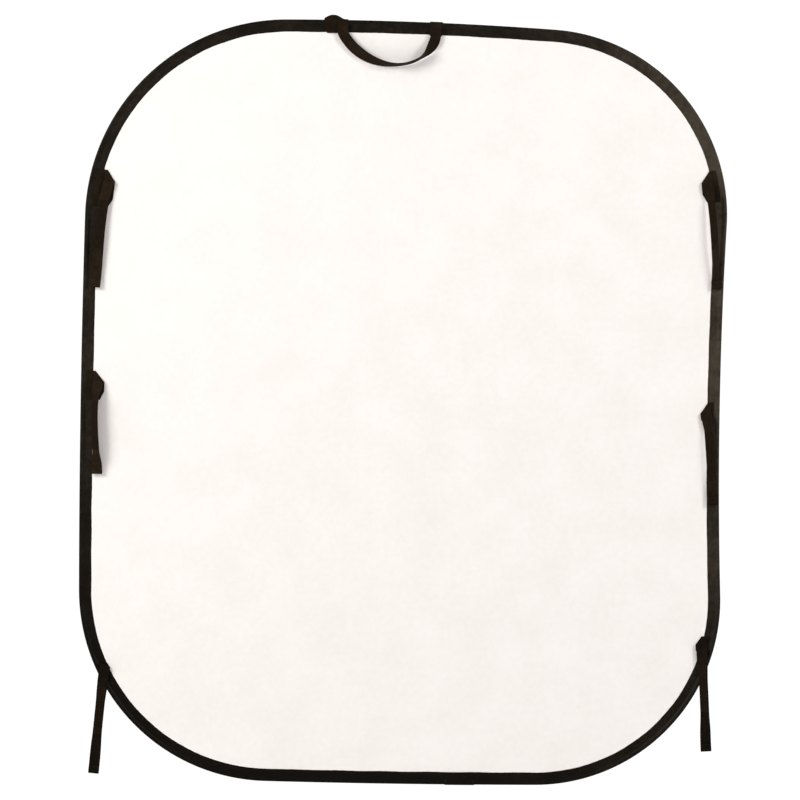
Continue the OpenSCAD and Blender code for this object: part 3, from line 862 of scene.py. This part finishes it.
def make_wrap(end, name):
    """The wrap that holds one end of the handle. Returns the runs of its stitches."""
    shift, length, lift = WRAPS[end]
    s, _ = top_place(HANDLE_MID_X + shift + (end - 0.5) * HANDLE_SPAN)
    place = s, length, WRAP_T, WRAP_REACH
    piece = wrap(f"handle_wrap_{name}", *place, "webbing", lift, 0.6 * lift, end * 2)
    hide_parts(f"handle_anchor_{name}")
    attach(piece, "panel")

    def on_wrap(v, across, out):
        depth = np.sign(out) * (SEAM_H + OVER_THREAD + WRAP_T + np.abs(out) - 1)
        return rim_point(s - across, v, depth)

    half, far = length / 2 - 2.5, WRAP_REACH - WRAP_BOX_EDGE
    near = far - WRAP_BOX_H
    box = [(near, -half), (near, half), (far, half), (far, -half)]
    return [run for face in (-1.0, 1.0) for run in stitch_path(on_wrap, box, 3.6, 3.0, face)]


def make_handle():
    runs = make_wrap(0, "left") + make_wrap(1, "right")
    v = np.arange(0, HANDLE_LENGTH, 1.6)
    strap = strip("handle_strap", handle_place, v, WEB_W, WEB_T, "webbing")
    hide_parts("handle_webbing")
    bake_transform(strap)
    runs += [handle_row(v) for v in both_ends(SEWN_ROWS)]
    piece = stitches("handle_wrap_stitches", runs, 0.36)
    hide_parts("handle_anchor_thread")
    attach(piece, "panel")
    rows = [handle_row(v) for v in both_ends(STRAP_ROWS)]
    piece = stitches("handle_strap_stitches", rows, 0.36)
    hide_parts("handle_end_thread")
    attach(piece, "handle")


# ---- Ties ----
# Each tie: its name, then arc of the rim, share of that arc, inset, lean, length, and how far its
# patch reaches above and below the hinge. Then how it hangs: how far it turns on edge, over what
# share of its length at the top and at the end, how far it bows out, how far it sways to the right,
# and what share of its turned half width it moves forward to clear what is behind it.
TIES = [
    ("upper_left", (2, 0.879, 48, 7.9, 248, 28, 60), (10, 0.40, 0.40, 3, -7, 0.9)),
    ("middle_left", (3, 0.447, 42, 1.0, 213, 28, 40), (-46, 0.20, 0.24, 5, -7, 0.75)),
    ("lower_left", (4, 0.284, 20, 5.9, 248, 11, 32), (38, 0.35, 0.40, 2, 0, 0.9)),
    ("upper_right", (0, 0.159, 40, -5.2, 248, 28, 46), (-56, 0.20, 0.12, 5, 4, 0.75)),
    ("middle_right", (7, 0.490, 32, -4.0, 213, 26, 32), (-42, 0.20, 0.35, 2, 2, 0.9)),
    ("lower_right", (6, 0.818, 31, -2.5, 248, 20, 32), (-42, 0.35, 0.35, 3, 0, 0.9)),
]
# A patch's reach from the hinge, towards the rim and towards the panel's middle
PATCH_OUT, PATCH_IN = 34, 13
# The cuts across a patch's inner corners: at the top as shares of its height, at the bottom in full
PATCH_TOP_CUT = (0.75, 0.95)
PATCH_END_CUT = (10, 20)
# The least inset of a patch, where the rim's flank ends
PATCH_U = 13.8
PATCH_T = 1.7
PATCH_ROWS, PATCH_COLS = 52, 44
# A patch's rounded edge, how high it puffs up, and the groove along its stitches
PATCH_ROUND, PUFF = 1.4, 0.35
GROOVE, GROOVE_W = 0.35, 0.8
# How far these stitches are from its edge, and how far apart
BORDER, BORDER_PITCH = 2.8, 3.6
# How far the webbing's sewn end stops short of its patch's edge
SEWN_EDGE = 2.0
# Where a tie's turn ends, as a share of its length
TURN_END = 0.97
# The hem's length, and the radius of its fold
HEM_L, HEM_R = 18, 0.92
WEB_STEP = 2.2
# Pitch and length of the stitches on the ties, and of those that sew them down
TIE_STITCH, SEWN_STITCH = (3.4, 2.7), (3.2, 2.6)
FASTENER_W, FASTENER_T = 20, 0.9
HOOK_L, HOOK_END = 40, 4
LOOP_L, LOOP_FROM = 110, 45


class Tie:
    """One tie's place, and its strip and patch coordinates."""

    def __init__(self, name, place, hang):
        self.name = name
        arc_index, share, self.inset, lean, self.length, self.top, self.bottom = place
        self.twist, self.ease, self.release, self.bow, self.sway, self.clear = hang
        self.hinge = rim_point(rim_distance(arc_index, share), self.inset, 0)
        self.side = -1 if self.hinge[0] < 0 else 1
        a = math.radians(lean)
        self.right = np.array([math.cos(a), 0, -math.sin(a)])
        self.up = np.array([math.sin(a), 0, math.cos(a)])
        # The cut across the patch's upper inner corner: its width, and its height
        self.cut_w, self.cut_h = self.top * PATCH_TOP_CUT[0], self.top * PATCH_TOP_CUT[1]
        rim_side = self.inset - WEB_W / 2
        patch_front, rim_front = self.patch_under(rim_side) + PATCH_T, rim_height(rim_side) + OVER_THREAD
        self.sewn_y = -max(float(patch_front), float(rim_front)) - WEB_T / 2 - 0.08

    def local(self, x, y, z):
        """A point from the tie's own X to the right, depth and Z up."""
        return spread(self.hinge, self.right, self.up, x, y, z)

    def patch_under(self, inset):
        """Depth of what the patch lies on: the seam of the binding, then the cloth."""
        return 0.8 + (SEAM_H + OVER_THREAD - 0.8) * smooth((RIM_W + 4 - inset) / 4.5)

    def patch_top(self, inner):
        """Height of the patch's top edge, for a distance towards the panel's middle."""
        return np.minimum(self.top, self.top - self.cut_h + (PATCH_IN - inner) * self.cut_h / self.cut_w)

    def place(self, v, across, out):
        """Points of the webbing: v is the distance below the hinge, or above it where negative."""
        v, across, out = np.broadcast_arrays(v, across, out)
        share = np.clip(np.maximum(v, 0) / self.length, 0, 1)
        turned = np.radians(self.twist) * smooth(share / self.ease)
        turned = turned * smooth((TURN_END - share) / self.release)
        stand = self.bow * np.sin(np.pi * share) ** 2 + WEB_W / 2 * np.abs(np.sin(turned)) * self.clear
        sway = self.sway * np.sin(np.pi * share ** 0.6) ** 1.5
        x = across * np.cos(turned) + out * np.sin(turned) + sway
        y = PIVOT_Y - stand + across * np.sin(turned) - out * np.cos(turned)
        # Above the hinge it is sewn down on the patch, and its end follows the patch's top edge.
        reach = self.sewn_reach(-self.side * across)
        z = np.where(v < 0, -v / (self.top - SEWN_EDGE) * reach, -v)
        y = y + (self.sewn_y - PIVOT_Y) * smooth(z / np.minimum(reach, 6))
        return self.local(x, y, z)

    def sewn_reach(self, inner):
        """Height of the webbing's sewn end above the hinge."""
        return np.maximum(self.patch_top(inner) - SEWN_EDGE, 3.0)

    def patch_place(self, inner, up, y):
        return self.local(-self.side * inner, y, up)

    def patch_limits(self, up):
        """The patch's outer and inner ends at a height, measured towards the panel's middle."""
        inner = PATCH_IN - max(0.0, up - (self.top - self.cut_h)) * self.cut_w / self.cut_h
        inner -= PATCH_END_CUT[0] * max(0.0, 1 - (up + self.bottom) / PATCH_END_CUT[1])
        ends = np.linspace(-PATCH_OUT, inner, 60)
        points = self.patch_place(ends, np.full(60, float(up)), np.zeros(60))
        _, insets = nearest_rim(points[:, 0], points[:, 2])
        inside = ends[insets >= PATCH_U]
        return (inside[0] if len(inside) else inner), inner


def make_patch(tie):
    """The patch that a tie is sewn to. Returns the runs of the stitches round it."""
    heights = np.arange(-tie.bottom, tie.top + 0.01)
    limits = np.array([tie.patch_limits(h) for h in heights])
    wide = np.diff(limits)[:, 0] > 3
    heights, limits = heights[wide], limits[wide]
    up = np.linspace(heights[0], tie.top, PATCH_ROWS)
    outer, inner = (np.interp(up, heights, limits[:, k]) for k in range(2))
    share = np.linspace(0, 1, PATCH_COLS)[None, :]
    x = outer[:, None] * (1 - share) + inner[:, None] * share
    z = up[:, None] + 0 * x
    flat = tie.patch_place(x, z, 0 * x)
    _, inset = nearest_rim(flat[..., 0], flat[..., 2])
    edge = np.minimum(np.minimum(x - outer[:, None], inner[:, None] - x), np.minimum(z - up[0], up[-1] - z))
    rounded = np.sqrt(np.clip(1 - (1 - np.clip(edge / PATCH_ROUND, 0, 1)) ** 2, 0.05, 1))
    groove = GROOVE * bell(edge, BORDER, GROOVE_W)
    puff = PUFF * smooth((edge - 3) / 5) * (0.6 + 0.4 * swell(x, z, 17, 40 + len(tie.name)))
    under = tie.patch_under(inset)
    front = -(under + PATCH_T * rounded - groove + puff)
    sides = [tie.patch_place(x, z, y) for y in (front, -under)]
    piece = plate(f"tie_patch_{tie.name}", *sides, np.stack([x, z], -1), "patch_tape")
    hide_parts(f"tie_anchor_{tie.name}")
    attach(piece, "panel")

    def at_row(row_share):
        """Outer end, inner end and height of the patch at a share of its rows."""
        row = row_share * (PATCH_ROWS - 1)
        return [np.interp(row, np.arange(PATCH_ROWS), values) for values in (outer, inner, up)]

    def on_patch(row_share, col_share, out):
        a, b, height = at_row(row_share)
        at = tie.patch_place(a + (b - a) * col_share, height, 0 * height)
        _, at_inset = nearest_rim(at[:, 0], at[:, 2])
        at[:, 1] = -(tie.patch_under(at_inset) + PATCH_T - GROOVE + out)
        return at

    tall = up[-1] - up[0]
    low = BORDER / tall
    a, b, _ = at_row(low)
    left = BORDER / max(b - a, 6)
    rows = np.linspace(low, 1 - low, round(tall / BORDER_PITCH))
    columns = np.linspace(left, 1 - left, round(40 / BORDER_PITCH))
    lines = [[(row, c) for row in rows] for c in (left, 1 - left)]
    lines += [[(row, c) for c in columns] for row in (low, 1 - low)]
    return [run for line in lines for run in short_run(on_patch, line)]


def short_run(place, line):
    """Stitches between neighbouring places of a line."""
    p = place(*np.array(line).T, 0.0)
    step = np.diff(p, axis=0)
    a, b = p[:-1] + step * 0.08, p[1:] - step * 0.08
    long = np.linalg.norm(b - a, axis=1) > 0.8
    up = np.tile(-DEPTH, (len(a), 1))
    return [(a[long], b[long], up[long])]


def make_fastener(tie, kind, start, length, face):
    """Hook or loop tape on one face of a tie's webbing. Returns the runs of its stitches."""

    def on_tape(v, across, out):
        return tie.place(v, across, face * ((WEB_T + FASTENER_T) / 2 + 0.02) + out)

    end = start + length
    v = np.linspace(start, end, round(length / 2))
    tape = f"{kind}_tape"
    piece = strip(f"tie_{tape}_{tie.name}", on_tape, v, FASTENER_W, FASTENER_T, tape)
    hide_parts(f"tie_{kind}_{tie.name}")
    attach(piece, f"tie_{tie.name}")
    half, top, low = FASTENER_W / 2 - 1.4, start + 1.6, end - 1.6
    box = [(top, -half), (top, half), (low, half), (low, -half)]
    return stitch_path(tie.place, box, *TIE_STITCH, face * (WEB_T / 2 + FASTENER_T))


def make_tie(tie):
    """The webbing of a tie with its hem, its fastener tapes and their stitches."""
    end = tie.length - 0.9
    # Down the back, round the fold of the hem and a short way up the front
    down = join(np.linspace(SEWN_EDGE - tie.top, 0, 12)[:-1], np.arange(0, end, WEB_STEP))
    back = np.arange(end, end - HEM_L, -WEB_STEP)[1:]
    fold = np.radians(np.linspace(0, 180, 8))
    v = join(down, end + HEM_R * np.sin(fold), back)
    shift = join(0 * down, HEM_R * (1 - np.cos(fold)), 0 * back + 2 * HEM_R)
    flip = join(0 * down + 1, np.cos(fold), 0 * back - 1)
    tuck = join(0 * down, np.sin(fold), 0 * back)
    across, out = strip_section(WEB_W, WEB_T)
    # Out of the front face is positive here; at the fold the section turns with the path.
    grid = tie.place(v[:, None] + tuck[:, None] * out, across, shift[:, None] + flip[:, None] * out)
    along = join(down, end + np.arange(1, len(v) - len(down) + 1) * WEB_STEP)
    strap = tube(f"tie_strap_{tie.name}", grid, np.append(across, across[0]), along, "webbing")
    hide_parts(f"tie_webbing_{tie.name}")
    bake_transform(strap)
    runs = make_fastener(tie, "hook", tie.length - HOOK_END - HOOK_L, HOOK_L, -1)
    runs += make_fastener(tie, "loop", LOOP_FROM, LOOP_L, 1)
    for at in (end - 4.5, end - HEM_L + 3.0):
        runs.append(stitch_run(tie.place, (at, -10.5), (at, 10.5), *TIE_STITCH, 2 * HEM_R + WEB_T / 2))
    piece = stitches(f"tie_stitches_{tie.name}", runs, 0.33)
    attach(piece, f"tie_{tie.name}")


def sewn_end_runs(tie):
    """Stitches that hold the webbing's end down on its patch."""

    def on_end(up, inner, out):
        return tie.place(-up / tie.sewn_reach(inner) * (tie.top - SEWN_EDGE), -tie.side * inner, out)

    def inner_end(up):
        return PATCH_IN - (up + SEWN_EDGE + 2.5 - tie.top + tie.cut_h) * tie.cut_w / tie.cut_h

    low, high, outer = 7.0, tie.top - 4.5, -10.3
    if tie.top < 14:
        return [stitch_run(on_end, (6.2, outer), (6.2, 3.0), *SEWN_STITCH, WEB_T / 2)]
    corners = [(low, outer), (high, outer), (high, inner_end(high)), (low, inner_end(low))]
    return stitch_path(on_end, corners, *SEWN_STITCH, WEB_T / 2)


make_cloth()
make_binding()
make_rim_stitches()
make_splice()
make_handle()
patch_runs = []
for spec in TIES:
    tie = Tie(*spec)
    patch_runs += make_patch(tie) + sewn_end_runs(tie)
    make_tie(tie)
patch_stitches = stitches("tie_patch_stitches", patch_runs, 0.33)
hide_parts("tie_anchor_thread")
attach(patch_stitches, "panel")
for name, material in STEELS.items():
    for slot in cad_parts[name].material_slots:
        slot.material = material


# ---- Stage, light and camera ----
def make_stage():
    """A round pale floor that brightens into the white surroundings towards its edge."""
    floor_z, floor_r, plain_r = cad_box[0][2] - 0.6, 3.5, 1.4
    bpy.ops.mesh.primitive_circle_add(vertices=96, radius=floor_r, fill_type="NGON", location=(0, 0, floor_z))
    floor = bpy.context.object
    floor.name = "floor"
    material, tree, shader = new_material("pale_floor")
    place = object_place(tree)
    tone = noise_at(tree, place, 0.8, 3)
    colour = ramp(tree, tone, [(0.3, (0.90, 0.90, 0.90)), (0.7, (0.93, 0.93, 0.93))])
    tree.links.new(colour, shader.inputs["Base Color"])
    set_inputs(shader, {"Roughness": 0.9, "Specular IOR Level": 0.1, "Emission Color": (1, 1, 1, 1)})
    away = node(tree, "ShaderNodeVectorMath", {0: place}, operation="LENGTH").outputs["Value"]
    sockets = {"Value": away, "From Min": plain_r, "From Max": floor_r * 0.95, "To Max": 0.8}
    glow = node(tree, "ShaderNodeMapRange", sockets, interpolation_type="SMOOTHSTEP").outputs[0]
    tree.links.new(glow, shader.inputs["Emission Strength"])
    floor.data.materials.append(material)


def make_world():
    world = bpy.data.worlds.new("studio")
    world.use_nodes = True
    tree = world.node_tree
    ground = tree.nodes["Background"]
    ground.inputs["Color"].default_value = (1, 1, 1, 1)
    # The white surroundings are seen at full strength, and light the object with less.
    seen = node(tree, "ShaderNodeLightPath").outputs["Is Camera Ray"]
    tree.links.new(levels(tree, seen, 0.34, 1.05), ground.inputs["Strength"])
    bpy.context.scene.world = world


def area_light(name, place, size, power, colour=(1, 1, 1)):
    """A round light that faces the middle of the panel."""
    data = bpy.data.lights.new(name, "AREA")
    data.shape = "DISK"
    data.size, data.energy, data.color = size, power, colour
    light = bpy.data.objects.new(name, data)
    light.location = place
    light.rotation_euler = (Vector((0, 0, -0.85)) - Vector(place)).to_track_quat("-Z", "Y").to_euler()
    bpy.context.scene.collection.objects.link(light)


def make_camera():
    # Level with the middle of the panel, square on to it
    distance, picture_w = 6.0, 1.875
    data = bpy.data.cameras.new("camera")
    data.sensor_width = 36
    data.lens = 36 * distance / picture_w
    camera = bpy.data.objects.new("camera", data)
    camera.location = (-0.0036, -distance, 0.002 - HANG_Z * MM)
    camera.rotation_euler = (math.radians(90), 0, 0)
    bpy.context.scene.collection.objects.link(camera)
    bpy.context.scene.camera = camera


make_stage()
make_world()
area_light("key", (-3.4, -2.8, 1.2), 2.2, 160, (1.0, 0.985, 0.965))
area_light("fill", (3.4, -2.8, 1.2), 1.6, 95)
area_light("back", (0.5, 3.2, 1.4), 2.4, 85)
make_camera()
bpy.context.scene.view_settings.view_transform = "Standard"
